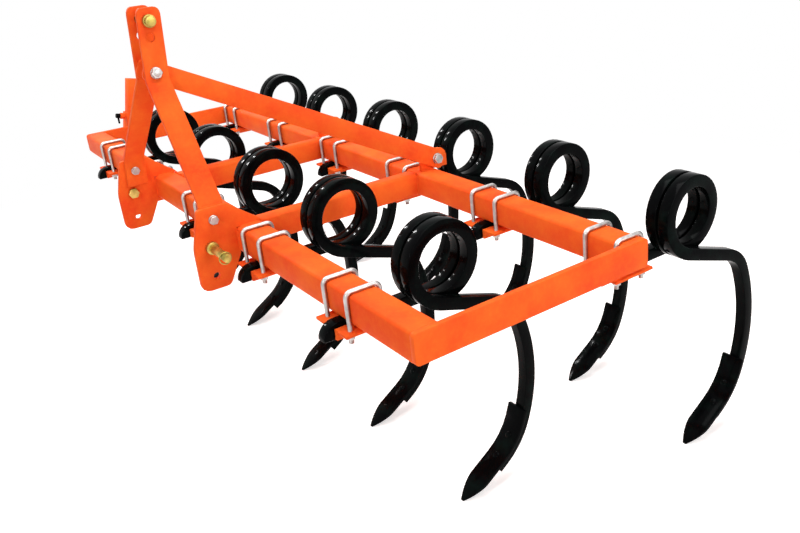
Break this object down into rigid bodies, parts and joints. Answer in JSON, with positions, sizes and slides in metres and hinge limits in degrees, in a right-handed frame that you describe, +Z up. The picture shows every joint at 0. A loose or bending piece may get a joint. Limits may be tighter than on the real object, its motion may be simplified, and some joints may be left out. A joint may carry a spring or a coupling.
{
  "type": "spring tine cultivator",
  "caption": "Mounted cultivator with double-coil spring tines on a two-beam frame, an A-frame mast and braces for a three-point linkage, and a sliding parking stand.",
  "frame": {"origin": "the middle of the machine's footprint, on the ground that the tine points touch", "axes": "+X across the machine to its right-hand end as the picture shows it, +Y to the rear, away from the tractor, +Z up"},
  "size_m": [2.5644, 1.24, 1.2606],
  "materials": {
    "orange_powder_coat": "gloss",
    "gloss_black_steel": "gloss",
    "zinc_plated_steel": "satin",
    "yellow_zinc_steel": "satin"
  },
  "bodies": {
    "frame": {"clamp_front_1": "orange_powder_coat", "clamp_front_2": "orange_powder_coat", "clamp_front_3": "orange_powder_coat", "clamp_front_4": "orange_powder_coat", "clamp_front_5": "orange_powder_coat", "clamp_rear_1": "orange_powder_coat", "clamp_rear_2": "orange_powder_coat", "clamp_rear_3": "orange_powder_coat", "clamp_rear_4": "orange_powder_coat", "clamp_rear_5": "orange_powder_coat", "clamp_rear_6": "orange_powder_coat", "front_beam": "orange_powder_coat", "left_brace": "orange_powder_coat", "left_brace_bolt": "zinc_plated_steel", "left_brace_bracket": "orange_powder_coat", "left_end_plate": "orange_powder_coat", "left_hitch_plate": "orange_powder_coat", "left_inner_bar": "orange_powder_coat", "left_leg_bolt": "zinc_plated_steel", "left_lower_pin": "yellow_zinc_steel", "left_mast_leg": "orange_powder_coat", "mast_bolt": "orange_powder_coat", "rear_beam": "orange_powder_coat", "right_brace": "orange_powder_coat", "right_brace_bolt": "zinc_plated_steel", "right_brace_bracket": "orange_powder_coat", "right_end_plate": "orange_powder_coat", "right_hitch_plate": "orange_powder_coat", "right_inner_bar": "orange_powder_coat", "right_leg_bolt": "zinc_plated_steel", "right_lower_pin": "yellow_zinc_steel", "right_mast_leg": "orange_powder_coat", "shovel_front_1": "gloss_black_steel", "shovel_front_2": "gloss_black_steel", "shovel_front_3": "gloss_black_steel", "shovel_front_4": "gloss_black_steel", "shovel_front_5": "gloss_black_steel", "shovel_rear_1": "gloss_black_steel", "shovel_rear_2": "gloss_black_steel", "shovel_rear_3": "gloss_black_steel", "shovel_rear_4": "gloss_black_steel", "shovel_rear_5": "gloss_black_steel", "shovel_rear_6": "gloss_black_steel", "stand_screw": "orange_powder_coat", "stand_sleeve": "orange_powder_coat", "tine_front_1": "gloss_black_steel", "tine_front_2": "gloss_black_steel", "tine_front_3": "gloss_black_steel", "tine_front_4": "gloss_black_steel", "tine_front_5": "gloss_black_steel", "tine_rear_1": "gloss_black_steel", "tine_rear_2": "gloss_black_steel", "tine_rear_3": "gloss_black_steel", "tine_rear_4": "gloss_black_steel", "tine_rear_5": "gloss_black_steel", "tine_rear_6": "gloss_black_steel", "top_link_pin": "yellow_zinc_steel"},
    "stand": {"stand_leg": "orange_powder_coat", "stand_foot": "orange_powder_coat"}
  },
  "joints": [
    {"name": "stand_slide", "type": "slide", "parent": "frame", "child": "stand", "axis": [0, 0.2164, 0.9763], "range_m": [-0.145, 0]}
  ]
}
